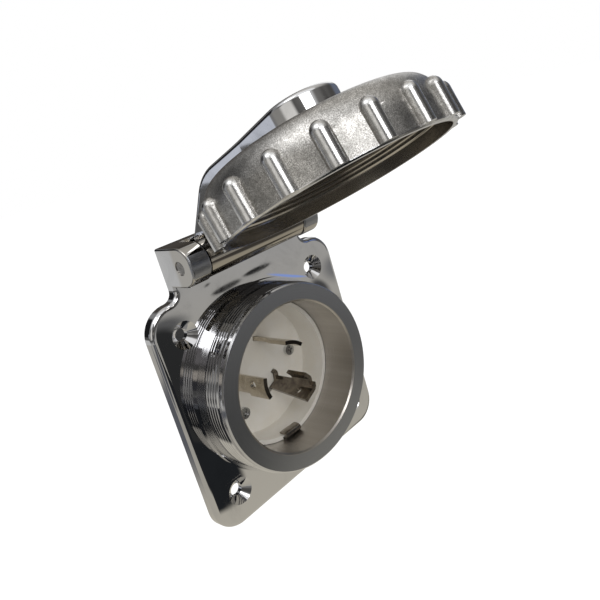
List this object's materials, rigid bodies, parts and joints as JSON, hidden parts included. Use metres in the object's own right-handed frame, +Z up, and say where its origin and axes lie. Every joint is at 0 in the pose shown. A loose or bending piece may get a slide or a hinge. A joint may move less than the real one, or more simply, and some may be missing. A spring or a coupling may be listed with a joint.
{
  "type": "shore power inlet",
  "caption": "Square stainless flange with a threaded collar round locking contact blades in an insulating cup, closed by a hinged lid with a screw cap.",
  "frame": {"origin": "on the collar's axis, in the plane of the flange's mounting face", "axes": "+X right seen from the front, +Y to the back, through the panel, +Z up towards the hinge"},
  "size_m": [0.105, 0.1626, 0.1741],
  "materials": {
    "polished_stainless": "mirror polished",
    "blasted_stainless": "matte cast, ribs polished by wear",
    "pin_steel": "dull turned",
    "screw_steel": "satin",
    "spring_steel": "dull",
    "plated_brass": "nickel plated, satin",
    "dark_brass": "darkened, satin",
    "cup_plastic": "matte",
    "body_plastic": "matte",
    "washer_plastic": "matte",
    "gasket_rubber": "matte"
  },
  "bodies": {
    "base": {"flange_housing": "polished_stainless", "hinge_pin": "pin_steel", "insulator_cup": "cup_plastic", "insulator_gasket": "gasket_rubber", "insulator_screws": "screw_steel", "retaining_screws": "screw_steel", "blade_hot_top": "plated_brass", "blade_hot_left": "plated_brass", "blade_neutral": "dark_brass", "ground_clip_lower": "spring_steel", "ground_clip_upper": "spring_steel", "ground_bus": "plated_brass", "terminal_hot_top": "plated_brass", "terminal_hot_left": "plated_brass", "terminal_neutral": "plated_brass", "terminal_ground": "plated_brass", "terminal_screws": "screw_steel", "terminal_body": "body_plastic"},
    "lid": {"lid_arm": "polished_stainless", "thrust_washer": "washer_plastic", "pivot_screw": "pin_steel", "retaining_washer": "pin_steel"},
    "cap": {"screw_cap": "blasted_stainless", "cap_gasket": "gasket_rubber"}
  },
  "joints": [
    {"name": "lid_hinge", "type": "hinge", "parent": "base", "child": "lid", "pos_m": [0, -0.0145, 0.0666], "axis": [1, 0, 0], "range_deg": [0, 110]},
    {"name": "cap_spin", "type": "hinge", "parent": "lid", "child": "cap", "pos_m": [0, -0.0789, 0.0844], "axis": [0, 0.342, 0.9397], "continuous": true}
  ]
}
